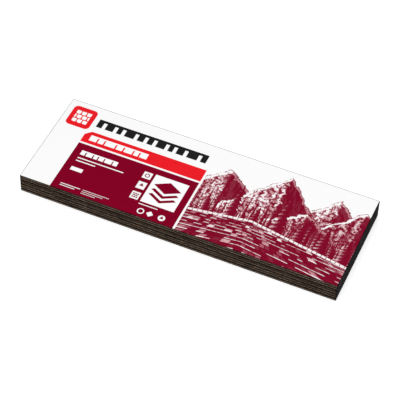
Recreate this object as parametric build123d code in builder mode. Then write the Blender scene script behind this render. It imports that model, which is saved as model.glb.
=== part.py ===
from build123d import *
import os

# A bundle of laminated asphalt shingles in a printed film band, in millimetres.
# +X runs along the shingles, +Y from the front long side to the back, +Z up.
# The origin is the middle of the base.

# One shingle: a face sheet, with two strips bonded under it along the butt edge
SHINGLE_LENGTH = 1000.0
SHINGLE_WIDTH = 349.0
SHEET = 2.35
BACK_STRIP_PROUD = 0.8
BOND = 25.0

# Teeth of the face sheet, as (tooth, gap) widths at the butt edge. The cutting drum
# rolls them out over and over, and each shingle starts somewhere else on the drum.
DRUM = ((112.0, 74.0), (86.0, 96.0), (134.0, 66.0), (98.0, 88.0), (120.0, 70.0), (78.0, 92.0), (146.0, 82.0))
DRUM_STEP = 383.0
TOOTH_DRAFT = 2.0

# The middle strip's teeth show past the face teeth by this much
TOOTH_STEP = 20.0

# The stack: pairs of one shingle face down and one face up, with their butt edges to
# opposite sides, so that the strips of each lie beside those of the other
PAIR_COUNT = 7
BUTT_OVERHANG = 1.5
NEST_GAP = 12.0

# How far each shingle slipped, along and towards its own butt edge, from the bottom up
SLIPS = (
    (-0.2, -4.4), (0.3, 0.4), (1.1, 0.7), (-0.8, -0.6), (0.4, -0.5), (-0.9, 0.6), (0.9, 0.6),
    (-0.3, -0.6), (0.6, -0.3), (-1.5, 0.7), (1.4, 0.6), (0.7, -0.6), (-0.5, -0.6), (0.2, 0.6),
)

# The film band around the length of the stack
FILM = 0.25
FILM_OVERHANG = 0.5
FILM_EASE = 0.2
FOLD_RADIUS = 1.5
LAP = 60.0

STRIP_WIDTH = SHINGLE_WIDTH / 2 + BUTT_OVERHANG - NEST_GAP / 2
TOOTH_DEPTH = STRIP_WIDTH - BOND
PAIR_HEIGHT = 4 * SHEET
STACK_FLOOR = 2 * FILM
BUNDLE_HEIGHT = STACK_FLOOR + PAIR_COUNT * PAIR_HEIGHT + FILM
LONGEST_SLIP = max(abs(along) for along, across in SLIPS)
OUTER_SLIP = max(abs(SLIPS[0][0]), abs(SLIPS[-1][0]))
BAND_INSIDE = SHINGLE_LENGTH + 2 * max(LONGEST_SLIP + FILM_EASE, OUTER_SLIP + FOLD_RADIUS)


def gaps_between_teeth(start):
    """Middle and width of each gap on the shingle, when the drum has rolled on by start."""
    turn = sum(tooth + gap for tooth, gap in DRUM)
    left = -SHINGLE_LENGTH / 2 - start % turn
    gaps = []
    while left < SHINGLE_LENGTH / 2:
        for tooth, gap in DRUM:
            middle = left + tooth + gap / 2
            if abs(middle) < (SHINGLE_LENGTH + gap) / 2:
                gaps.append((middle, gap))
            left += tooth + gap
    return gaps


def cut_gaps(gaps, depth, narrower):
    """Cut the gaps out of the sketch: straight sided, and widest at the butt edge."""
    for middle, gap in gaps:
        with Locations((middle, 0)):
            Trapezoid(
                gap - narrower, depth, 90 - TOOTH_DRAFT, align=(Align.CENTER, Align.MIN), mode=Mode.SUBTRACT
            )


os.makedirs("parts", exist_ok=True)

# The shingles, from the bottom up. Each is drawn on the plane of its own back, with its
# butt edge along the plane's x axis, and the plane turns over for every other shingle.
for number in range(2 * PAIR_COUNT):
    slip_along, slip_across = SLIPS[number % len(SLIPS)]
    pair, face_up = divmod(number, 2)
    pair_floor = STACK_FLOOR + pair * PAIR_HEIGHT
    butt_edge = SHINGLE_WIDTH / 2 + BUTT_OVERHANG + slip_across
    if face_up:
        back = Plane(origin=(slip_along, -butt_edge, pair_floor + SHEET), z_dir=(0, 0, 1))
    else:
        back = Plane(origin=(slip_along, butt_edge, pair_floor + 3 * SHEET), x_dir=(1, 0, 0), z_dir=(0, 0, -1))
    gaps = gaps_between_teeth(number * DRUM_STEP)

    with BuildPart() as shingle:
        with BuildSketch(back):
            with Locations((0, -BACK_STRIP_PROUD)):
                Rectangle(SHINGLE_LENGTH, STRIP_WIDTH, align=(Align.CENTER, Align.MIN))
        extrude(amount=SHEET)

        with BuildSketch(back.offset(SHEET)):
            Rectangle(SHINGLE_LENGTH, STRIP_WIDTH, align=(Align.CENTER, Align.MIN))
            cut_gaps(gaps, TOOTH_DEPTH - TOOTH_STEP, 2 * TOOTH_STEP)
        extrude(amount=SHEET)

        with BuildSketch(back.offset(2 * SHEET)):
            Rectangle(SHINGLE_LENGTH, SHINGLE_WIDTH, align=(Align.CENTER, Align.MIN))
            cut_gaps(gaps, TOOTH_DEPTH, 0)
        extrude(amount=SHEET)

    name = f"shingle_{number + 1:02d}"
    shingle.part.label = name
    export_step(shingle.part, f"parts/{name}.step")

# The film band, drawn from the front: a closed loop with its welded lap on the inside
with BuildPart() as wrapper:
    with BuildSketch(Plane.XZ):
        with Locations((0, BUNDLE_HEIGHT / 2)):
            RectangleRounded(BAND_INSIDE + 2 * FILM, BUNDLE_HEIGHT, FOLD_RADIUS + FILM)
            RectangleRounded(BAND_INSIDE, BUNDLE_HEIGHT - 2 * FILM, FOLD_RADIUS, mode=Mode.SUBTRACT)
        with Locations((0, FILM)):
            Rectangle(LAP, FILM, align=(Align.CENTER, Align.MIN))
    extrude(amount=SHINGLE_WIDTH / 2 + BUTT_OVERHANG + FILM_OVERHANG, both=True)
wrapper.part.label = "wrapper"
export_step(wrapper.part, "parts/wrapper.step")
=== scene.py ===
"""A bundle of laminated asphalt shingles in a printed film band: its looks, its stage and its camera."""

import logging
import math
from dataclasses import dataclass
from enum import Enum
from typing import Callable

import bpy
import numpy as np
from mathutils import Matrix, Vector, noise


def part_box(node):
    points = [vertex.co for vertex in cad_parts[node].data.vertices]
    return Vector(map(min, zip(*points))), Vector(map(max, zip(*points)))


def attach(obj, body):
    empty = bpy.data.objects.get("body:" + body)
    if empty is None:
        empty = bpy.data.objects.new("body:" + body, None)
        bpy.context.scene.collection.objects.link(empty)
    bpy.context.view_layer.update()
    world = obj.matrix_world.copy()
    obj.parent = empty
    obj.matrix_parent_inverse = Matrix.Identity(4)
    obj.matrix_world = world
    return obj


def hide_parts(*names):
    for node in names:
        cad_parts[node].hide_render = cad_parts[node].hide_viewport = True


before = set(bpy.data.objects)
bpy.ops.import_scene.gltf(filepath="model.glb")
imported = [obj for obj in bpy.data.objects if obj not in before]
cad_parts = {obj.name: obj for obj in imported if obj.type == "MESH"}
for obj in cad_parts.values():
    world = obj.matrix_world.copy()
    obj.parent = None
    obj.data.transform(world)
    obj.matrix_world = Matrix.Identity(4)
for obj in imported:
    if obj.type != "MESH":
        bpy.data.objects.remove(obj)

log = logging.getLogger("shingle_bundle")

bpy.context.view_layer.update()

Object = bpy.types.Object
Material = bpy.types.Material
Number = float | int
Span = tuple[float, float]
Point = tuple[float, float, float]
Colour = tuple[int, int, int]

# A millimetre in the frame's metres. Sizes are in millimetres, except where they say metres.
MM = 0.001
# How thick one bitumen sheet of a shingle is, and how high the lowest one lies
SHEET = 2.35
STACK_FLOOR = 0.5
# The surface of the film, white or printed
FILM_ROUGHNESS = 0.42
FILM_GLOSS = 0.03
WHITE = (1.0, 1.0, 1.0, 1.0)


# -------- material nodes

def with_another(operation: str) -> Callable[["Wire", "Wire | Number"], "Wire"]:
    """A wire's method for one operation of the Math node, on the wire and another value.

    Args:
        operation: the node's operation.

    Returns:
        The method.
    """

    def method(self: "Wire", other: "Wire | Number") -> "Wire":
        """The node's result for this value and another."""
        return self.maths(operation, self, other)

    return method


class Wire:
    """A value in a node tree, wrapping the socket that gives it. Sums on it add Math nodes."""

    def __init__(self, nodes: "Tree", socket: bpy.types.NodeSocket) -> None:
        """Wrap a socket of the given node tree."""
        self.nodes = nodes
        self.socket = socket

    def maths(self, operation: str, *values: "Wire | Number") -> "Wire":
        """The result of a Math node with the given inputs."""
        return self.nodes.add("ShaderNodeMath", {"operation": operation}, dict(enumerate(values)))

    def __rsub__(self, other: Number) -> "Wire":
        """A number less this value."""
        return self.maths("SUBTRACT", other, self)

    def __abs__(self) -> "Wire":
        """This value without its sign."""
        return self.maths("ABSOLUTE", self)

    def floor(self) -> "Wire":
        """The whole number below this value."""
        return self.maths("FLOOR", self)

    def part(self) -> "Wire":
        """What is left of this value above the whole number below it."""
        return self.maths("FRACT", self)

    __add__ = __radd__ = with_another("ADD")
    __sub__ = with_another("SUBTRACT")
    __mul__ = __rmul__ = with_another("MULTIPLY")
    __truediv__ = with_another("DIVIDE")
    __pow__ = with_another("POWER")
    __gt__ = with_another("GREATER_THAN")
    __lt__ = with_another("LESS_THAN")
    least = with_another("MINIMUM")
    most = with_another("MAXIMUM")

    def ramp(self, low: Number, high: Number) -> "Wire":
        """0 below low and 1 above high, or the other way round, with an eased rise between."""
        sockets = {"Value": self, "From Min": low, "From Max": high}
        return self.nodes.add("ShaderNodeMapRange", {"interpolation_type": "SMOOTHSTEP"}, sockets)

    def over(self, below: "Wire | Number", mask: "Wire") -> "Wire":
        """This value where the mask is 1, and another where it is 0."""
        return mask * (self - below) + below


class Tree:
    """A node tree, and the one way in which nodes come into it."""

    def __init__(self, tree: bpy.types.NodeTree) -> None:
        """Take up a material's or a world's node tree."""
        self.tree = tree

    def add(
        self, kind: str, settings: dict | None = None, inputs: dict | None = None, output: int | str = 0
    ) -> Wire:
        """Add a node.

        Args:
            kind: the node's type.
            settings: its properties, where "stops" is a colour ramp's list of (place, colour).
            inputs: a value or a wire for each socket, by name or number.
            output: the socket that is wanted back.

        Returns:
            The wanted output.
        """
        node = self.tree.nodes.new(kind)
        for name, value in (settings or {}).items():
            if name == "stops":
                stops = node.color_ramp.elements
                while len(stops) < len(value):
                    stops.new(1.0)
                for stop, (place, colour) in zip(stops, value):
                    stop.position = place
                    stop.color = (*colour, 1.0)
            else:
                setattr(node, name, value)
        for key, value in (inputs or {}).items():
            self.join(value, node.inputs[key])
        return Wire(self, node.outputs[output])

    def join(self, value: object, socket: bpy.types.NodeSocket) -> None:
        """Give a socket a plain value, or the wire that brings one.

        Args:
            value: the value or the wire.
            socket: the socket.
        """
        if isinstance(value, Wire):
            self.tree.links.new(value.socket, socket)
        else:
            socket.default_value = value

    def seen(self) -> Wire:
        """Tell the rays that show the scene from those that only light it.

        Returns:
            1 for what is seen straight, in a reflection or through glass, and 0 for all other light.
        """
        kinds = ("Camera", "Glossy", "Transmission")
        camera, glossy, through = (self.add("ShaderNodeLightPath", output=f"Is {kind} Ray") for kind in kinds)
        return camera.most(glossy).most(through)


class Nodes(Tree):
    """A new material and its nodes, with a Principled surface."""

    def __init__(self, name: str) -> None:
        """Make the material.

        Args:
            name: its name.
        """
        self.material = bpy.data.materials.new(name)
        self.material.use_nodes = True
        super().__init__(self.material.node_tree)
        self.surface = self.tree.nodes["Principled BSDF"]

    def finish(self, **sockets: object) -> Material:
        """Set the surface.

        Args:
            sockets: a value or a wire for each Principled socket, with _ for each space.

        Returns:
            The finished material.
        """
        names = {name.lower().replace(" ", "_"): name for name in self.surface.inputs.keys()}
        for key, value in sockets.items():
            self.join(value, self.surface.inputs[names[key]])
        return self.material

    def place(self) -> Wire:
        """Where the point is on the object, as a vector in metres."""
        return self.add("ShaderNodeTexCoord", output="Object")

    def millimetres(self) -> tuple[Wire, Wire, Wire]:
        """Where the point is on the object, as x, y and z in millimetres."""
        scaled = self.add("ShaderNodeVectorMath", {"operation": "SCALE"}, {0: self.place(), "Scale": 1 / MM})
        return tuple(self.add("ShaderNodeSeparateXYZ", inputs={0: scaled}, output=axis) for axis in "XYZ")

    def vector(self, x: Wire | Number, y: Wire | Number, z: Wire | Number = 0.0) -> Wire:
        """A vector made of three values."""
        return self.add("ShaderNodeCombineXYZ", inputs={0: x, 1: y, 2: z})

    def clouds(self, place: Wire, size: float, detail: float, rough: float) -> Wire:
        """Noise from 0 to 1: its largest lumps' width in metres, how many finer octaves, and their strength."""
        sockets = {"Vector": place, "Scale": 1 / size, "Detail": detail, "Roughness": rough}
        return self.add("ShaderNodeTexNoise", inputs=sockets)

    def chance(self, *values: Wire | Number) -> Wire:
        """A random number from 0 to 1 that stays the same for the same two or three values."""
        place = {"Vector": self.vector(*values)}
        return self.add("ShaderNodeTexWhiteNoise", {"noise_dimensions": "3D"}, place)

    def blend(self, mask: Wire, low: object, high: object) -> Wire:
        """A colour between two others: the first where the mask is 0, and the second where it is 1."""
        return self.add("ShaderNodeMix", {"data_type": "RGBA"}, {0: mask, 6: low, 7: high}, output=2)

    def relief(self, height: Wire, depth: float, strength: float) -> Wire:
        """A normal bumped by a height from 0 to 1, where 1 stands this many metres high, at this strength."""
        sockets = {"Height": height, "Distance": depth, "Strength": strength}
        return self.add("ShaderNodeBump", inputs=sockets)

    def stretched(self, place: Wire, scale: Point) -> Wire:
        """The place times a number on each axis, so that a pattern on it is drawn out where that is below 1."""
        return self.add("ShaderNodeMapping", inputs={"Vector": place, "Scale": scale})

    def ramp_colour(self, value: Wire, stops: list[tuple[float, Colour]]) -> Wire:
        """The colour that a value from 0 to 1 has on a row of (place, colour) stops."""
        linear = [(place, srgb(*colour)[:3]) for place, colour in stops]
        return self.add("ShaderNodeValToRGB", {"stops": linear}, {0: value})


def srgb(red: int, green: int, blue: int) -> tuple[float, float, float, float]:
    """The scene's linear colour, with an alpha of 1, for one given from 0 to 255 as it looks on screen."""
    shares = (value / 255 for value in (red, green, blue))
    return (*(s / 12.92 if s <= 0.04045 else ((s + 0.055) / 1.055) ** 2.4 for s in shares), 1.0)


# -------- finishes

@dataclass(frozen=True)
class Ink:
    """One flat ink on the film, laid on a little unevenly."""

    name: str
    colour: Colour
    gloss: float = FILM_GLOSS
    thinned: float = 1.06

    def material(self) -> Material:
        """Make the ink's material, with the film's faint wrinkles in it.

        Returns:
            The material.
        """
        nodes = Nodes(self.name + "_ink")
        uneven = nodes.clouds(nodes.place(), 0.05, 4.0, 0.6)
        full = srgb(*self.colour)
        thin = tuple(min(1.0, share * self.thinned) for share in full)
        return nodes.finish(
            base_color=nodes.blend(uneven.ramp(0.35, 0.65), full, thin),
            roughness=uneven * 0.1 + (FILM_ROUGHNESS - 0.05),
            specular_ior_level=self.gloss,
            normal=film_wrinkles(nodes),
        )


def film_wrinkles(nodes: Nodes) -> Wire:
    """The faint slack of a taut film, as a bumped normal."""
    along = nodes.stretched(nodes.place(), (0.25, 1.0, 1.0))
    return nodes.relief(nodes.clouds(along, 0.06, 2.0, 0.4), 0.0004, 0.5)


@dataclass(frozen=True)
class BlackFilm:
    """The film's plain black side, with the draw lines of its making and a heat-sealed lap."""

    colour: Colour = (14, 13, 13)
    worn_and_sheen: Colour = (32, 31, 31)
    seam_reach: float = 30.0
    seam_top: float = 5.0
    seam_pitch: float = 1.6

    def material(self) -> Material:
        """Make the black film's material.

        Returns:
            The material.
        """
        nodes = Nodes("black_film")
        place = nodes.place()
        x, _, z = nodes.millimetres()
        lines = nodes.clouds(nodes.stretched(place, (1.0, 1.0, 0.12)), 0.012, 3.0, 0.55)
        slack = nodes.clouds(place, 0.045, 2.0, 0.5)
        weld = (abs(x) < self.seam_reach) * (z < self.seam_top) * ((x / self.seam_pitch).part() > 0.5)
        # Lighter on the draw lines and the slack: partly scuffs, partly painted sheen on the slack film
        scuffs_and_sheen = (lines * 0.5 + slack * 0.5).ramp(0.45, 0.7)
        return nodes.finish(
            base_color=nodes.blend(scuffs_and_sheen, srgb(*self.colour), srgb(*self.worn_and_sheen)),
            roughness=0.62 - scuffs_and_sheen * 0.12,
            specular_ior_level=0.005,
            normal=nodes.relief(lines * 0.4 + slack * 0.4 + weld * 0.2, 0.0009, 0.6),
        )


@dataclass(frozen=True)
class Granules:
    """Crushed stone pressed into a shingle's face, in the blend of one colour drop after another."""

    tones: tuple[Colour, ...] = ((15, 11, 9), (24, 18, 14), (38, 29, 23), (66, 53, 42), (34, 30, 28))
    grain: float = 0.0013
    drop: float = 95.0

    def material(self) -> Material:
        """Make the granules' material.

        Returns:
            The material.
        """
        nodes = Nodes("granules")
        place = nodes.place()
        x, _, z = nodes.millimetres()
        cells = {"Vector": place, "Scale": 1 / self.grain}
        stone = nodes.add("ShaderNodeTexVoronoi", inputs=cells, output="Color")
        chance = nodes.add("ShaderNodeSeparateColor", inputs={0: stone}, output="Red")
        hollow = nodes.add("ShaderNodeTexVoronoi", inputs=cells, output="Distance")
        drops = nodes.chance((x / self.drop).floor(), (z / SHEET).floor())
        mixed = (chance * 0.7 + (drops * 0.3 + nodes.clouds(place, 0.12, 2.0, 0.5) * 0.3)).least(0.999)
        stops = [(index / len(self.tones), tone) for index, tone in enumerate(self.tones)]
        return nodes.finish(
            base_color=nodes.ramp_colour(mixed, stops),
            roughness=0.8 + chance * 0.15,
            specular_ior_level=0.1,
            normal=nodes.relief(1 - hollow, 0.0006, 0.7),
        )


@dataclass(frozen=True)
class CutEdge:
    """One kind of cut edge: filled bitumen on glass mat, with sand and stones in it.

    It is bare between two heights, as shares of its sheet, and dark below and above them: laminating bitumen,
    and painted shade between the sheets. Its stones are given as the share that each tone has of them.
    """

    colour: Colour
    dust: Colour
    bare: Span
    stones: tuple[float, ...]
    coating_and_shade: Colour = (9, 5, 3)
    coating_and_shade_wander: float = 0.3
    coating_and_shade_fade: float = 0.1

    def material(self, name: str) -> Material:
        """Make the edge's material.

        Args:
            name: the material's name.

        Returns:
            The material.
        """
        nodes = Nodes(name)
        place = nodes.place()
        torn = nodes.clouds(nodes.stretched(place, (0.6, 0.6, 1.4)), 0.0016, 4.0, 0.65)
        sand = nodes.clouds(place, 0.0012, 2.0, 0.7)
        patches = nodes.clouds(place, 0.035, 3.0, 0.6)
        dusty = (torn * 0.45 + sand * 0.55 + patches * 0.2).ramp(0.57, 0.69)
        _, _, z = nodes.millimetres()
        up = ((z - STACK_FLOOR) / SHEET).part() + (torn - 0.5) * self.coating_and_shade_wander
        low, high = self.bare
        fade = self.coating_and_shade_fade
        # The dark band below and above the bare part: laminating bitumen, and painted shade between the sheets
        coated_and_shaded = up.ramp(high - fade, high + fade).most(up.ramp(low + fade, low - fade))
        filled = nodes.blend(dusty, srgb(*self.colour), srgb(*self.dust))
        return nodes.finish(
            base_color=nodes.blend(coated_and_shaded, filled, srgb(*self.coating_and_shade)),
            roughness=0.8 + dusty * 0.15,
            specular_ior_level=0.08,
            normal=nodes.relief(torn * 0.5 + sand * 0.5, 0.0007, 0.9),
        )


@dataclass(frozen=True)
class Hill:
    """A hill in the picture: its top's place, how steep it falls, and its tones in shade and in light."""

    middle: float
    top: float
    slope: float
    dark: float
    light: float


@dataclass(frozen=True)
class Conifers:
    """A row of conifers: how far apart they stand, their lowest and highest tip, and their tone in shade."""

    room: float
    tips: Span
    tone: float
    seed: float


@dataclass
class Picture:
    """The white film, with a one-ink picture on its right half: hills, conifers and a roof slope.

    It is painted from the back to the front. The canvas is the tone so far, from 0 in full ink to 1 on bare
    film, and across and up are a point's place in the picture, in millimetres.
    """

    left: float = -1.3
    bottom: float = -174.0
    far_hills: float = 222.0
    hills: tuple[Hill, ...] = (
        Hill(405.0, 306.0, 1.1, 0.03, 0.8), Hill(66.0, 282.0, 0.85, 0.02, 0.75),
        Hill(238.0, 330.0, 1.15, 0.0, 0.8), Hill(488.0, 288.0, 1.0, 0.0, 0.6), Hill(330.0, 218.0, 0.7, 0.0, 0.6),
    )
    rows: tuple[Conifers, ...] = (
        Conifers(11.0, (140.0, 195.0), 0.12, 3.0), Conifers(17.0, (115.0, 180.0), 0.03, 7.0),
        Conifers(29.0, (95.0, 215.0), -0.04, 11.0), Conifers(71.0, (150.0, 272.0), -0.06, 17.0),
    )
    roof_middle: float = 190.0
    ridge: float = 122.0
    roof_fall: float = 0.16
    tab: float = 19.0
    ridge_cap: float = 15.0
    stops: tuple[tuple[float, Colour], ...] = (
        (0.0, (126, 4, 38)), (0.25, (158, 70, 89)), (0.5, (190, 129, 138)), (0.75, (226, 189, 194)),
        (1.0, (252, 252, 252)),
    )

    def material(self) -> Material:
        """Make the printed film's material.

        Returns:
            The material.
        """
        self.nodes = nodes = Nodes("printed_film")
        x, y, _ = nodes.millimetres()
        self.across, self.up = x - self.left, y - self.bottom
        self.canvas = 1.0
        self.paint_hills()
        for row in self.rows:
            self.paint_conifers(row)
        self.paint_roof()
        grain = nodes.clouds(nodes.place(), 0.0022, 2.0, 0.7)
        inked = (0.97 - self.canvas).ramp(0.0, 0.1)
        tone = self.canvas + (grain - 0.5) * inked * 0.4
        shown = tone.ramp(0.06, 0.84).over(1.0, self.across > 0.0)
        return nodes.finish(
            base_color=nodes.ramp_colour(shown, self.stops),
            roughness=FILM_ROUGHNESS,
            specular_ior_level=FILM_GLOSS,
            normal=film_wrinkles(nodes),
        )

    def paint_hills(self) -> None:
        """Paint far slopes on the white sky, and the hills before them, each with a snowy top and a lit side."""
        nodes, across, up = self.nodes, self.across, self.up
        place = nodes.vector(across * MM, up * MM)
        crags = (nodes.clouds(place, 0.05, 6.0, 0.62) - 0.5) * 52.0
        wander = (nodes.clouds(place, 0.03, 5.0, 0.65) - 0.5) * 60.0
        scree = nodes.clouds(place, 0.012, 4.0, 0.72)
        skyline = nodes.clouds(nodes.vector(across * MM, 4.0), 0.16, 5.0, 0.6)
        far = self.far_hills + (skyline - 0.5) * 120.0
        slopes = 0.62 - scree.ramp(0.4, 0.62) * 0.3 + (nodes.clouds(place, 0.004, 2.0, 0.7) - 0.5) * 0.4
        self.canvas = slopes.over(self.canvas, (far - up).ramp(-0.5, 0.5))
        for hill in self.hills:
            aside = across - hill.middle
            fall = abs(aside) * hill.slope
            depth = hill.top + crags - fall - up
            shade = (aside + wander).ramp(-4.0, 4.0)
            strata = nodes.vector(across * MM, (up + fall) * MM * 0.35, hill.middle)
            gully = nodes.clouds(strata, 0.018, 3.0, 0.65).ramp(0.44, 0.56)
            snow = (depth + (scree - 0.5) * 34.0).ramp(15.0, 9.0) * (depth > 3.2)
            lit = hill.light - scree.ramp(0.46, 0.56) * 0.5 - gully * 0.3
            face = lit.most(0.05).over(hill.dark + gully * 0.16, 1 - shade)
            face = (1.0 - shade * 0.55).over(face, snow)
            self.canvas = face.over(self.canvas, depth.ramp(-0.5, 0.5))

    def paint_conifers(self, row: Conifers) -> None:
        """Paint one row of conifers, each with whorls of ragged branches that are lit from the left.

        Args:
            row: the row.
        """
        nodes, up, room, seed = self.nodes, self.up, row.room, row.seed
        across = self.across + seed * 3.0
        column = (across / room).floor()
        low, high = row.tips
        height = nodes.chance(column, seed) * (high - low) + low
        middle = (column + 0.38 + nodes.chance(column, seed, 1.0) * 0.24) * room
        aside = across - middle
        down = (height - up) / height
        ragged = nodes.clouds(nodes.vector(across * MM, up * MM, seed), 0.0045, 3.0, 0.75)
        branches = down * 15.0 + nodes.chance(column, seed, 2.0)
        whorl = (branches - abs(aside) / room * 1.6 + ragged * 0.5).part()
        reach = room * 0.6 * (down ** 0.85) * (0.5 + whorl * 0.5) * (0.55 + ragged * 0.9)
        inside = (reach - abs(aside)).ramp(-0.4, 0.4) * (down > 0.0)
        lit = (aside / room + (ragged - 0.5) * 0.3).ramp(0.1, -0.3)
        needles = row.tone + lit * whorl * 0.75 + (ragged - 0.5) * 0.5 + whorl * 0.05
        self.canvas = needles.over(self.canvas, inside)

    def paint_roof(self) -> None:
        """Paint the roof slope in front: courses of tabs that get smaller towards the ridge."""
        nodes, up = self.nodes, self.up
        aside = self.across - self.roof_middle
        fall = abs(aside) * self.roof_fall
        course = (up + fall) * 0.052 + up * up * 0.00028
        row, rise = course.floor(), course.part()
        along = aside * (0.85 + up / 190.0)
        uneven = nodes.clouds(nodes.vector(along * MM, row), 0.05, 1.0, 0.5) * 2.2
        tab = along / self.tab + nodes.chance(row, 5.0) * 7.0 + uneven
        which = tab.floor()
        shade = nodes.chance(which, row)
        tooth = nodes.chance(which, row, 3.0) > 0.4
        joint = ((tab.part() - 0.5) * 2.0) ** 6.0
        lip = rise.ramp(0.2, 0.08) * tooth
        shadow = rise.ramp(0.7, 0.95)
        tone = shade * shade * shade * 0.6 + tooth * 0.07 + lip * 0.6 - joint * 0.3 - shadow * 0.6
        below = self.ridge - fall - up
        caps = 0.15 + 0.6 * ((self.across / self.ridge_cap).part() > 0.14)
        tone = tone.over(caps, below.ramp(7.5, 8.0))
        self.canvas = tone.over(self.canvas, below.ramp(-0.4, 0.4))


# -------- tools

def select_nothing() -> None:
    """Deselect every object, such as the nodes that the frame leaves selected."""
    bpy.ops.object.select_all(action="DESELECT")


def pick(*objects: Object) -> None:
    """Select just these objects.

    Args:
        objects: the objects, the first of which becomes the active one.
    """
    select_nothing()
    for each in objects:
        each.select_set(True)
    bpy.context.view_layer.objects.active = objects[0]


def box_between(low: Point, high: Point) -> Object:
    """Add a cube primitive that fills a box.

    Args:
        low, high: the box's corners, in metres.

    Returns:
        The object, with its place and size in its mesh.
    """
    select_nothing()
    middle = [(a + b) / 2 for a, b in zip(low, high)]
    bpy.ops.mesh.primitive_cube_add(size=1.0, location=middle, scale=[b - a for a, b in zip(low, high)])
    bpy.ops.object.transform_apply()
    return bpy.context.object


def edit(target: Object, kind: str, wanted: Callable[..., bool]) -> None:
    """Go into edit mode with only the wanted edges or faces of an object selected.

    Args:
        target: the object.
        kind: "EDGE" or "FACE".
        wanted: says for an edge's two ends, or for a face's normal, whether it is.
    """
    pick(target)
    bpy.ops.object.mode_set(mode="EDIT")
    bpy.ops.mesh.select_mode(type=kind)
    bpy.ops.mesh.select_all(action="DESELECT")
    leave_edit()
    mesh = target.data
    for edge in mesh.edges if kind == "EDGE" else ():
        edge.select = wanted(*(mesh.vertices[index].co for index in edge.vertices))
    for face in mesh.polygons if kind == "FACE" else ():
        face.select = wanted(face.normal)
    bpy.ops.object.mode_set(mode="EDIT")


def leave_edit() -> None:
    """Go back to object mode."""
    bpy.ops.object.mode_set(mode="OBJECT")


def copy_of(source: Object) -> Object:
    """A copy of an object with a mesh of its own.

    Args:
        source: the object.

    Returns:
        The copy.
    """
    copy = source.copy()
    copy.data = source.data.copy()
    bpy.context.collection.objects.link(copy)
    return copy


def apply_modifier(target: Object, kind: str, **settings: object) -> None:
    """Add a modifier to an object and apply it.

    Args:
        target: the object.
        kind: the modifier's type.
        settings: its properties.
    """
    pick(target)
    modifier = target.modifiers.new("work", kind)
    for name, value in settings.items():
        setattr(modifier, name, value)
    bpy.ops.object.modifier_apply(modifier=modifier.name)


def join(name: str, pieces: list[Object]) -> Object:
    """Join objects into one.

    Args:
        name: the joined object's name.
        pieces: the objects.

    Returns:
        The joined object.
    """
    pick(*pieces)
    if len(pieces) > 1:
        bpy.ops.object.join()
    joined = bpy.context.object
    joined.name = joined.data.name = name
    return joined


def remove(*objects: Object) -> None:
    """Delete objects and their meshes."""
    for each in objects:
        bpy.data.meshes.remove(each.data)


def cut_out(target: Object, cutter: Object) -> None:
    """Cut one object's shape out of another, and delete it."""
    apply_modifier(target, "BOOLEAN", object=cutter, operation="DIFFERENCE", solver="EXACT")
    remove(cutter)


def points(target: Object) -> np.ndarray:
    """The vertices of an object's mesh.

    Args:
        target: the object.

    Returns:
        One row for each vertex.
    """
    places = np.empty(len(target.data.vertices) * 3)
    target.data.vertices.foreach_get("co", places)
    return places.reshape(-1, 3)


def put_points(target: Object, places: np.ndarray) -> None:
    """Move the vertices of an object's mesh to the given rows."""
    target.data.vertices.foreach_set("co", places.ravel())
    target.data.update()


def dress(piece: Object, node: str | None, slot: str, *materials: Material) -> None:
    """Give a finished piece its materials, and its place in the frame.

    Args:
        piece: the piece.
        node: the CAD node that it stands for, if it does.
        slot: the record's material slot; not used.
        materials: the materials of its faces, in order.
    """
    piece.data.materials.clear()
    for material in materials:
        piece.data.materials.append(material)
    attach(piece, "root")
    if node:
        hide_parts(node)
    log.info("%s: %d faces", piece.name, len(piece.data.polygons))


# -------- the film

class Form(Enum):
    """The outline of a printed mark: the number of its sides, or 0 for a block, whose corners may be rounded."""

    TRIANGLE = 3
    DIAMOND = 4
    DISC = 40
    BLOCK = 0


class Corner(Enum):
    """A corner of a block: 0 at its left or front, and 1 at its right or back."""

    LEFT_FRONT = (0, 0)
    RIGHT_FRONT = (1, 0)
    LEFT_BACK = (0, 1)
    RIGHT_BACK = (1, 1)


@dataclass(frozen=True)
class Mark:
    """One printed mark, in millimetres on the film's top."""

    left: float
    right: float
    front: float
    back: float
    form: Form = Form.BLOCK
    bevel: float = 0.0
    bevelled: tuple[Corner, ...] = tuple(Corner)
    smooth: int = 1
    less: tuple["Mark", ...] = ()

    def solid(self, low: float, high: float) -> Object:
        """Model the mark as a thin plate.

        Args:
            low, high: the plate's underside and top, in metres.

        Returns:
            The plate.
        """
        if self.form is Form.BLOCK:
            plate = box_between((self.left * MM, self.front * MM, low), (self.right * MM, self.back * MM, high))
            if self.bevel:
                self.bevel_corners(plate)
        else:
            select_nothing()
            middle = ((self.left + self.right) / 2 * MM, (self.front + self.back) / 2 * MM, (low + high) / 2)
            size = ((self.right - self.left) * MM, (self.back - self.front) * MM, 1.0)
            bpy.ops.mesh.primitive_cylinder_add(
                vertices=self.form.value, radius=0.5, depth=high - low, location=middle, scale=size
            )
            bpy.ops.object.transform_apply()
            plate = bpy.context.object
        for other in self.less:
            cut_out(plate, other.solid(low - MM, high + MM))
        return plate

    def bevel_corners(self, plate: Object) -> None:
        """Bevel the plate's upright edges at the corners that have it.

        Args:
            plate: the plate.
        """
        sides, ends = (self.left, self.right), (self.front, self.back)
        wanted = [(sides[corner.value[0]], ends[corner.value[1]]) for corner in self.bevelled]

        def at_corner(a: Vector, b: Vector) -> bool:
            """Whether an edge stands upright at one of the wanted corners."""
            upright = abs(a.z - b.z) > 1e-6
            return upright and any(abs(a.x / MM - x) < 0.01 and abs(a.y / MM - y) < 0.01 for x, y in wanted)

        edit(plate, "EDGE", at_corner)
        bpy.ops.mesh.bevel(offset=self.bevel * MM, segments=self.smooth, affect="EDGES", clamp_overlap=True)
        leave_edit()


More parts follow.
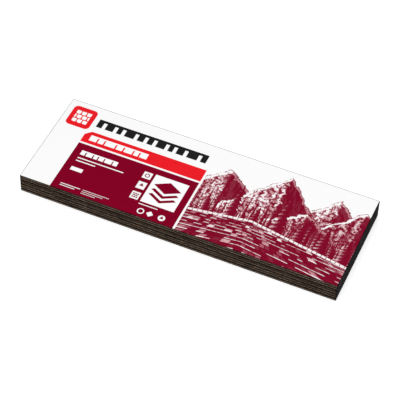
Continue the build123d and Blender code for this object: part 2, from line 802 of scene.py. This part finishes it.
def toothed(
    left: float, right: float, front: float, back: float, widths: tuple[float, ...], gap: float, strip: float
) -> Mark:
    """A plain strip with teeth of differing widths, like a shingle seen flat.

    Args:
        left, right: the mark's ends.
        front, back: its sides, the teeth to the front.
        widths: the teeth's widths, as shares of each other.
        gap: the space between two teeth.
        strip: how deep the strip behind them is.

    Returns:
        The mark.
    """
    unit = (right - left - gap * (len(widths) - 1)) / sum(widths)
    gaps = []
    at = left
    for width in widths[:-1]:
        at += width * unit + gap
        gaps.append(Mark(at - gap, at, front - 1.0, back - strip))
    return Mark(left, right, front, back, less=tuple(gaps))


def tiled(left: float, back: float, tab: float, gap: float) -> tuple[Mark, ...]:
    """Three rows of round-ended tabs, each set off by half a tab, like shingles on a roof.

    Args:
        left, back: the corner that the rows start from.
        tab: how wide and how deep a tab is.
        gap: the space between two of them.

    Returns:
        The tabs.
    """
    right = left + 3 * tab + 2 * gap
    marks = []
    for row in range(3):
        for column in range(3 + row % 2):
            at = left + (column - row % 2 / 2) * (tab + gap)
            whole = {Corner.LEFT_FRONT: at > left - 0.1, Corner.RIGHT_FRONT: at + tab < right + 0.1}
            corners = tuple(corner for corner, inside in whole.items() if inside)
            front = back - row * (tab + gap) - tab
            ends = max(left, at), min(right, at + tab)
            marks.append(Mark(*ends, front, front + tab, bevel=tab * 0.3, bevelled=corners, smooth=4))
    return tuple(marks)


@dataclass
class Film:
    """The printed film around the stack: a black band, and the printed sheet that lies on its top."""

    thickness: float = 0.12
    print_thickness: float = 0.13
    fold: float = 1.75
    bare_front: float = 0.3
    bare_back: float = 1.4
    lap: float = 60.0
    panel: Mark = Mark(-403.6, -8.0, -176.25, 17.8)
    band: Mark = Mark(-403.6, -8.0, 24.3, 73.6, bevel=17.0, bevelled=(Corner.LEFT_BACK,))
    badge: Mark = Mark(-481.9, -402.9, 73.6, 156.5, bevel=14.0, smooth=8)
    title: Mark = toothed(-386.8, -23.4, 97.3, 131.5, (7, 10, 6, 12, 8, 7, 11, 6, 9, 13, 7), 11.0, 10.0)
    red_marks: tuple[Mark, ...] = (
        toothed(-381.5, -190.7, 37.5, 60.0, (8, 6, 11, 7, 9, 5, 8), 5.0, 5.0),
        *tiled(-466.9, 139.5, 14.0, 3.5),
    )
    squares: tuple[Mark, ...] = (
        Mark(-137.2, -29.4, -119.6, -4.6), Mark(-172.7, -145.9, -32.9, -6.6),
        Mark(-172.7, -145.9, -76.9, -48.0), Mark(-172.7, -145.9, -119.6, -90.7),
    )
    rules: tuple[Mark, ...] = (
        toothed(-379.5, -259.0, -26.3, -8.0, (7, 10, 6, 8, 11, 7), 4.0, 4.0),
        Mark(-379.5, -228.9, -41.9, -38.1), Mark(-379.5, -315.9, -53.9, -50.1),
        Mark(-379.5, -341.3, -93.3, -78.9), Mark(-379.5, -315.9, -153.6, -151.0),
        Mark(-379.5, -331.0, -161.0, -158.6), Mark(-307.9, -222.2, -152.6, -151.0),
        Mark(-307.9, -240.0, -159.4, -157.8), Mark(-307.9, -262.0, -166.2, -164.6),
        Mark(-137.2, -76.3, -130.9, -127.9),
        Mark(-130.0, -108.0, -165.7, -143.7, Form.DISC, less=(Mark(-126.5, -111.5, -162.2, -147.2, Form.DISC),)),
        Mark(-101.0, -79.0, -165.7, -143.7, Form.DIAMOND),
        Mark(-63.0, -41.0, -165.7, -143.7, Form.DISC, less=(Mark(-59.5, -44.5, -162.0, -146.0, Form.TRIANGLE),)),
    )
    layers: tuple[Mark, ...] = (
        Mark(-127.6, -39.0, -66.0, -18.0, Form.DIAMOND),
        Mark(-127.6, -39.0, -86.0, -38.0, Form.DIAMOND, less=(Mark(-127.6, -39.0, -75.0, -27.0, Form.DIAMOND),)),
        Mark(-127.6, -39.0, -106.0, -58.0, Form.DIAMOND, less=(Mark(-127.6, -39.0, -95.0, -47.0, Form.DIAMOND),)),
    )
    signs: tuple[Mark, ...] = (
        Mark(-167.3, -151.3, -27.7, -11.7, Form.DISC, less=(Mark(-164.0, -154.6, -24.4, -15.0, Form.DISC),)),
        Mark(-167.8, -150.8, -69.0, -53.0, Form.TRIANGLE),
        *tiled(-168.6, -96.0, 5.2, 1.5),
    )

    def build(self) -> None:
        """Model the band and the printed sheet in the film's box, and dress them."""
        self.low, self.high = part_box("wrapper")
        self.build_band()
        self.build_print()

    def build_band(self) -> None:
        """The black band: a tube with folded corners around the stack, open along both long sides."""
        low, high = self.low, self.high
        wall = self.thickness * MM
        band = box_between(tuple(low), (high[0], high[1], high[2] - self.print_thickness * MM))
        edit(band, "EDGE", lambda a, b: abs(a.y - b.y) > 0.1)
        bpy.ops.mesh.bevel(offset=self.fold * MM, segments=6, affect="EDGES")
        leave_edit()
        edit(band, "FACE", lambda normal: abs(normal.y) > 0.9)
        bpy.ops.mesh.delete(type="FACE")
        leave_edit()
        apply_modifier(band, "SOLIDIFY", thickness=wall, offset=-1.0)
        inside, reach = low[2] + wall, self.lap / 2 * MM
        lap = box_between((-reach, low[1], inside), (reach, high[1], inside + wall))
        band = join("film_band", [band, lap])
        dress(band, "wrapper", "film", BlackFilm().material())

    def build_print(self) -> None:
        """The printed sheet: the white film with each ink let into it, so that no two lie in one place."""
        under, top = self.high[2] - self.print_thickness * MM, self.high[2]
        side = self.high[0] - self.fold * MM
        front, back = self.low[1] + self.bare_front * MM, self.high[1] - self.bare_back * MM
        sheet = box_between((-side, front, under), (side, back, top))
        inks = (
            (Ink("maroon", (127, 0, 34), gloss=0.015), (self.panel,), (*self.layers, *self.signs)),
            (Ink("red", (232, 28, 38)), (self.band, self.badge)),
            (Ink("black", (27, 25, 26)), (self.title,)),
            (Ink("white", (252, 252, 252)), (*self.squares, *self.rules, *self.red_marks)),
        )
        plates = [
            [join("plate", [mark.solid(under, top) for mark in group]) for group in groups] for _, *groups in inks
        ]
        (panel, signs), (red,), (black,), (white,) = plates
        let_in = ((sheet, panel), (sheet, red), (sheet, black), (panel, white), (red, white), (white, signs))
        for below, upper in let_in:
            cutter = copy_of(upper)
            places = points(cutter)
            places[:, 2] += np.where(places[:, 2] > (under + top) / 2, 1.0, -1.0) * MM
            put_points(cutter, places)
            cut_out(below, cutter)
        sheet.name = sheet.data.name = "print_sheet"
        dress(sheet, "wrapper", "film", Picture().material())
        for (ink, *_), pieces in zip(inks, plates):
            dress(join("print_" + ink.name, pieces), "wrapper", "film", ink.material())


# -------- the shingles

class Layer(Enum):
    """The sheets of a shingle, from its back to its face."""

    BACK_STRIP = 0
    MIDDLE_STRIP = 1
    FACE_SHEET = 2


@dataclass(frozen=True)
class Sheet:
    """One sheet of the shingle with this number, counted from 0 at the bottom of the stack."""

    number: int
    layer: Layer


class Tone(Enum):
    """The colours of the crushed stones along the edges, which are one piece each."""

    GRANULES_DARK = (13, 8, 5)
    GRANULES_BROWN = (40, 28, 19)
    GRANULES_GREY = (88, 79, 73)
    GRANULES_TAN = (164, 142, 119)
    GRANULES_RUST = (124, 80, 52)


# Bitumen and sand, and stones, that several kinds of edge have
BACK_SHADES = ((94, 77, 64), (170, 148, 129))
MIDDLE_SHADES = ((86, 70, 57), (154, 133, 115))
FACE_SHADES = ((9, 5, 3), (26, 18, 12))
LIGHT_STONES = (0.08, 0.2, 0.24, 0.38, 0.1)
MIXED_STONES = (0.12, 0.25, 0.21, 0.3, 0.12)
# An edge that is bare all over: its dark band of bitumen and painted shade would start past the sheet
BARE = (-0.5, 1.5)


class Kind(Enum):
    """The kinds of cut edge: a sheet's usual one, those whose wider dark band or darker stones are painted shade
    at the recesses between the sheets, and those with a darker light part.
    """

    BACK = CutEdge(*BACK_SHADES, (0.25, 1.5), LIGHT_STONES)
    BACK_LOW = CutEdge(*BACK_SHADES, (0.5, 1.5), LIGHT_STONES)
    BACK_DARK = CutEdge((62, 49, 40), (96, 80, 67), (0.25, 1.5), (0.3, 0.3, 0.12, 0.18, 0.1))
    MIDDLE = CutEdge(*MIDDLE_SHADES, (-0.5, 0.5), MIXED_STONES)
    MIDDLE_LOW = CutEdge(*MIDDLE_SHADES, (-0.5, 0.3), (0.6, 0.34, 0.03, 0.03, 0.0))
    MIDDLE_DARK = CutEdge((60, 47, 38), (92, 76, 63), (-0.5, 0.4), MIXED_STONES)
    FACE = CutEdge(*FACE_SHADES, BARE, (0.5, 0.34, 0.06, 0.05, 0.05))
    FACE_DARK = CutEdge(*FACE_SHADES, BARE, (0.85, 0.15, 0.0, 0.0, 0.0))


@dataclass
class Stack:
    """The shingles, drawn with the butt edge along y = 0 and the face up, then laid in their places."""

    count: int = 14
    width: float = 349.0
    length: float = 1000.0
    strip: float = 170.0
    proud: float = 0.8
    tooth_depth: float = 145.0
    tooth_step: float = 20.0
    drum: tuple[Span, ...] = (
        (112.0, 74.0), (86.0, 96.0), (134.0, 66.0), (98.0, 88.0), (120.0, 70.0), (78.0, 92.0), (146.0, 82.0)
    )
    drum_step: float = 383.0
    draft: float = 2.0
    stations: int = 250
    rounding: float = 0.3
    torn: float = 0.7
    wave: float = 0.1
    granule_pitch: float = 2.2
    granule_top: float = 0.65
    granule_band: float = 1.0
    granule_size: Span = (0.65, 1.15)
    granule_shapes: int = 6
    sunk: float = 0.15
    # Shingles with other kinds of edge: the painted-shade kinds darken sheets beside the recesses where shade
    # falls, and 8 and 9 are darker
    special: tuple[tuple[tuple[int, ...], tuple[Kind, Kind, Kind]], ...] = (
        ((1,), (Kind.BACK, Kind.MIDDLE_LOW, Kind.FACE)),
        ((3, 11), (Kind.BACK, Kind.MIDDLE_LOW, Kind.FACE_DARK)),
        ((5, 7, 13), (Kind.BACK_LOW, Kind.MIDDLE, Kind.FACE)),
        ((8, 9), (Kind.BACK_DARK, Kind.MIDDLE_DARK, Kind.FACE)),
    )

    def build(self) -> None:
        """Model the sheets once, each shingle from copies of them, and the loose granules at the edges."""
        self.random = np.random.default_rng(14)
        self.granules = Granules().material()
        self.asphalt = {kind: kind.value.material(kind.name.lower() + "_edge") for kind in Kind}
        self.blanks = {layer: self.blank(layer) for layer in Layer}
        self.cutter = box_between((-0.5, 0.0, 0.0), (0.5, 1.0, 1.0))
        self.stones = []
        for number in range(self.count):
            self.build_shingle(number)
        remove(self.cutter, *self.blanks.values())
        self.build_granules()

    def node(self, number: int) -> str:
        """The CAD node of a shingle, which is numbered from 0 at the bottom."""
        return f"shingle_{number + 1:02d}"

    def kinds(self, number: int) -> tuple[Kind, Kind, Kind]:
        """The kinds of edge that one shingle has.

        Args:
            number: the shingle's number.

        Returns:
            The kind of each of its sheets, from its back to its face.
        """
        for numbers, kinds in self.special:
            if number in numbers:
                return kinds
        return Kind.BACK, Kind.MIDDLE, Kind.FACE

    def extent(self, layer: Layer) -> Span:
        """Where a sheet's front and back edges are.

        Args:
            layer: which of a shingle's sheets it is.

        Returns:
            Their distances from the butt edge, in millimetres.
        """
        return {
            Layer.BACK_STRIP: (-self.proud, self.strip - self.proud),
            Layer.MIDDLE_STRIP: (0.0, self.strip),
            Layer.FACE_SHEET: (0.0, self.width),
        }[layer]

    def gaps(self, sheet: Sheet) -> list[Span]:
        """The gaps between the teeth of one sheet.

        Args:
            sheet: the sheet.

        Returns:
            The middle and the width of each gap at the butt edge.
        """
        if sheet.layer is Layer.BACK_STRIP:
            return []
        turn = sum(tooth + gap for tooth, gap in self.drum)
        left = -self.length / 2 - sheet.number * self.drum_step % turn
        narrower = 2 * self.tooth_step if sheet.layer is Layer.MIDDLE_STRIP else 0.0
        found = []
        while left < self.length / 2:
            for tooth, gap in self.drum:
                middle = left + tooth + gap / 2
                if abs(middle) < (self.length + gap) / 2:
                    found.append((middle, gap - narrower))
                left += tooth + gap
        return found

    def blank(self, layer: Layer) -> Object:
        """Model an uncut sheet: eased along its edges, and divided finely so that they can be torn.

        Args:
            layer: which of a shingle's sheets it is.

        Returns:
            The sheet, above the shingle's own x and y axes.
        """

        def runs_along(a: Vector, b: Vector) -> bool:
            """Whether an edge runs along the sheet."""
            return abs(a.x - b.x) > 0.1

        front, back = (edge * MM for edge in self.extent(layer))
        floor = layer.value * SHEET * MM
        half = self.length / 2 * MM
        blank = box_between((-half, front, floor), (half, back, floor + SHEET * MM))
        edit(blank, "EDGE", runs_along)
        bpy.ops.mesh.bevel(offset=self.rounding * MM, segments=1, affect="EDGES")
        bpy.ops.mesh.select_all(action="SELECT")
        bpy.ops.mesh.bisect(plane_co=(0.0, 0.0, floor + SHEET * MM / 2), plane_no=(0.0, 0.0, 1.0))
        leave_edit()
        edit(blank, "EDGE", runs_along)
        bpy.ops.mesh.subdivide(number_cuts=self.stations - 1)
        leave_edit()
        return blank

    def cut(self, piece: Object, sheet: Sheet) -> None:
        """Cut a sheet's gaps out of it: straight sided, and widest at the butt edge.

        Args:
            piece: the sheet's object.
            sheet: the sheet.
        """
        depth = self.tooth_depth - (self.tooth_step if sheet.layer is Layer.MIDDLE_STRIP else 0.0)
        draft = math.tan(math.radians(self.draft))
        ahead = 2.0
        cutters = []
        for middle, gap in self.gaps(sheet):
            cutter = copy_of(self.cutter)
            places = points(cutter)
            taper = np.where(places[:, 1] > 0.5, 1 - 2 * depth * draft / gap, 1.0)
            places[:, 0] = places[:, 0] * gap * taper + middle
            places[:, 1] = places[:, 1] * (depth + ahead) - ahead
            places[:, 2] = (places[:, 2] * 3.0 - 1.0 + sheet.layer.value) * SHEET
            put_points(cutter, places * MM)
            cutters.append(cutter)
        if cutters:
            cut_out(piece, join("cutter", cutters))

    def tear(self, piece: Object, sheet: Sheet) -> None:
        """Draw the long edges of a sheet in unevenly, as cut asphalt is.

        Args:
            piece: the sheet's object.
            sheet: the sheet.
        """
        places = points(piece)
        front, back = (edge * MM for edge in self.extent(sheet.layer))
        for place in places:
            for edge, inwards in ((front, 1.0), (back, -1.0)):
                if abs(place[1] - edge) < (self.rounding + 0.05) * MM:
                    place[1] += inwards * self.drawn_in(sheet, place[0], place[2])
                    wave = noise.noise(Vector((place[0] * 25, self.seed(sheet) + 9.0, 0.0)))
                    place[2] += wave * self.wave * MM
        put_points(piece, places)

    def seed(self, sheet: Sheet) -> float:
        """Where in the noise a sheet's edges are torn, so that no two are alike."""
        return sheet.number * 3.7 + sheet.layer.value * 1.3

    def drawn_in(self, sheet: Sheet, x: float, z: float) -> float:
        """How far a torn edge lies inside its straight line: lumps some 14 mm wide, with others of 2 mm on them.

        Args:
            sheet: the sheet.
            x, z: the place along the edge and above the shingle's back, in metres.

        Returns:
            The distance in metres.
        """
        seed = self.seed(sheet)
        coarse = noise.noise(Vector((x * 70, seed, z * 90)))
        fine = noise.noise(Vector((x * 420, seed, z * 700)))
        return self.torn * MM * min(1.0, max(0.0, 0.4 + coarse * 0.5 + fine * 0.6))

    def build_shingle(self, number: int) -> None:
        """Model one shingle and lay it in its node's place.

        Args:
            number: the shingle's number.
        """
        pieces = []
        for sheet in (Sheet(number, layer) for layer in Layer):
            piece = copy_of(self.blanks[sheet.layer])
            self.cut(piece, sheet)
            self.tear(piece, sheet)
            self.scatter(sheet)
            pieces.append(piece)
        node = self.node(number)
        shingle = join(node + "_laminated", pieces)
        dress(shingle, node, "shingle", self.granules, *(self.asphalt[kind] for kind in self.kinds(number)))
        for face in shingle.data.polygons:
            layer = min(int(face.center.z / MM / SHEET), 2) if abs(face.normal.y) > 0.3 else 2
            face.material_index = 0 if face.normal.z > 0.9 else 1 + layer
        put_points(shingle, self.laid(number, points(shingle)))

    def laid(self, number: int, places: np.ndarray) -> np.ndarray:
        """Turn points from a shingle's own axes to its place in the stack, where every other one lies face down.

        Args:
            number: the shingle's number.
            places: the points, in metres.

        Returns:
            The points in the stack.
        """
        low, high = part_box(self.node(number))
        along = (low[0] + high[0]) / 2
        if number % 2:
            return places + np.array((along, low[1] + self.proud * MM, low[2]))
        return places * (1, -1, -1) + np.array((along, high[1] - self.proud * MM, high[2]))

    def scatter(self, sheet: Sheet) -> None:
        """Note where loose granules sit along a sheet's visible edges.

        Args:
            sheet: the sheet.
        """
        number, layer = sheet.number, sheet.layer
        front, back = self.extent(layer)
        edges = [(front, 1.0, self.gaps(sheet))] + ([(back, -1.0, [])] if layer is Layer.FACE_SHEET else [])
        for edge, inwards, missing in edges:
            count = int(self.length / self.granule_pitch)
            x = (self.random.random(count) - 0.5) * (self.length - 2.0)
            for middle, gap in missing:
                x = x[abs(x - middle) > gap / 2]
            down = self.granule_top + self.random.random(len(x)) ** 2 * self.granule_band
            z = (layer.value + 1) * SHEET - down
            torn = np.array([self.drawn_in(sheet, a * MM, b * MM) for a, b in zip(x, z)])
            places = np.column_stack((x * MM, edge * MM + inwards * (torn + self.sunk * MM), z * MM))
            limits = self.laid(number, np.column_stack((x, np.full(len(x), edge), z)) * MM)[:, 1]
            tones = self.random.choice(len(Tone), len(x), p=self.kinds(number)[layer.value].value.stones)
            self.stones.append(np.column_stack((self.laid(number, places), limits, tones)))

    def build_granules(self) -> None:
        """Model a few crushed stones, and copy them to every place that was noted."""
        shapes = []
        for seed in range(1, self.granule_shapes + 1):
            stone = box_between((-0.5, -0.5, -0.5), (0.5, 0.5, 0.5))
            bpy.ops.object.mode_set(mode="EDIT")
            bpy.ops.mesh.select_all(action="SELECT")
            bpy.ops.transform.vertex_random(offset=0.22, seed=seed)
            bpy.ops.mesh.quads_convert_to_tris()
            leave_edit()
            shapes.append((points(stone), np.array([list(face.vertices) for face in stone.data.polygons])))
            remove(stone)
        stones = np.concatenate(self.stones)
        for index, tone in enumerate(Tone):
            vertices, faces = [], []
            for which, (x, y, z, limit, _) in enumerate(stones[stones[:, 4] == index]):
                corners, sides = shapes[which % len(shapes)]
                turn = np.array(Matrix.Rotation(self.random.uniform(0, 6.28), 3, self.random.normal(size=3)))
                size = self.random.uniform(*self.granule_size) * MM
                stone = corners @ turn.T * size * (1.0, 0.8, 0.8) + (x, y, z)
                outwards = math.copysign(1.0, limit)
                stone[:, 1] -= max(0.0, ((stone[:, 1] - limit) * outwards).max()) * outwards
                faces.append(sides + len(vertices) * len(corners))
                vertices.append(stone)
            name = tone.name.lower()
            mesh = bpy.data.meshes.new(name)
            mesh.from_pydata(np.concatenate(vertices).tolist(), [], np.concatenate(faces).tolist())
            piece = bpy.data.objects.new(name, mesh)
            bpy.context.collection.objects.link(piece)
            stone = Nodes(name).finish(base_color=srgb(*tone.value), roughness=0.9, specular_ior_level=0.1)
            dress(piece, None, "shingle", stone)


# -------- the stage

@dataclass
class Studio:
    """The floor, the lamps, the white surroundings and the camera."""

    lens: float = 152.15
    azimuth: float = 22.0587
    elevation: float = 48.1864
    roll: float = 2.1653
    distance: float = 4.99458
    target: Point = (0.009474, -0.014594, 0.032705)
    floor_size: float = 14.0
    floor_glow: float = 0.4
    daylight: float = 0.48
    lamps: tuple[tuple[str, Point, float, float], ...] = (
        ("overhead", (0.1, -0.5, 3.6), 4.0, 84.0),
        ("front", (1.6, -3.2, 1.5), 2.0, 23.0),
    )

    def build(self) -> None:
        """Set everything up."""
        self.build_floor()
        self.build_lamps()
        self.build_world()
        self.build_camera()

    def build_floor(self) -> None:
        """A plain pale floor that takes the shadow."""
        select_nothing()
        bpy.ops.mesh.primitive_plane_add(size=self.floor_size)
        floor = bpy.context.object
        floor.name = "floor"
        nodes = Nodes("floor_white")
        floor.data.materials.append(nodes.finish(
            base_color=(0.9, 0.9, 0.9, 1.0), roughness=0.9, specular_ior_level=0.0,
            emission_color=WHITE, emission_strength=nodes.seen() * self.floor_glow,
        ))

    def build_lamps(self) -> None:
        """A broad soft lamp overhead and a weaker one from the front."""
        for name, place, size, power in self.lamps:
            select_nothing()
            bpy.ops.object.light_add(type="AREA", location=place)
            lamp = bpy.context.object
            lamp.name = name
            lamp.data.size, lamp.data.energy = size, power
            lamp.rotation_euler = (-Vector(place)).to_track_quat("-Z", "Y").to_euler()

    def build_world(self) -> None:
        """White where the camera or a reflection looks, and a soft even light otherwise."""
        world = bpy.data.worlds.new("surroundings")
        bpy.context.scene.world = world
        world.use_nodes = True
        nodes = Tree(world.node_tree)
        surface = world.node_tree.nodes["Background"]
        nodes.join(WHITE, surface.inputs["Color"])
        nodes.join(nodes.seen() * (1 - self.daylight) + self.daylight, surface.inputs["Strength"])

    def build_camera(self) -> None:
        """The camera at the photograph's angle."""
        select_nothing()
        bpy.ops.object.camera_add()
        camera = bpy.context.object
        camera.name = "camera"
        camera.data.lens = self.lens
        camera.data.sensor_width = 36.0
        turns = ((self.azimuth, "Z"), (90.0 - self.elevation, "X"), (self.roll, "Z"))
        aimed = Matrix.Translation(self.target)
        for degrees, axis in turns:
            aimed @= Matrix.Rotation(math.radians(degrees), 4, axis)
        camera.matrix_world = aimed @ Matrix.Translation((0.0, 0.0, self.distance))
        bpy.context.scene.camera = camera


def main() -> None:
    """Build the studio and the bundle."""
    bpy.context.scene.view_settings.view_transform = "Standard"
    Studio().build()
    Film().build()
    Stack().build()


if __name__ == "__main__":
    logging.basicConfig(level=logging.INFO)
    main()
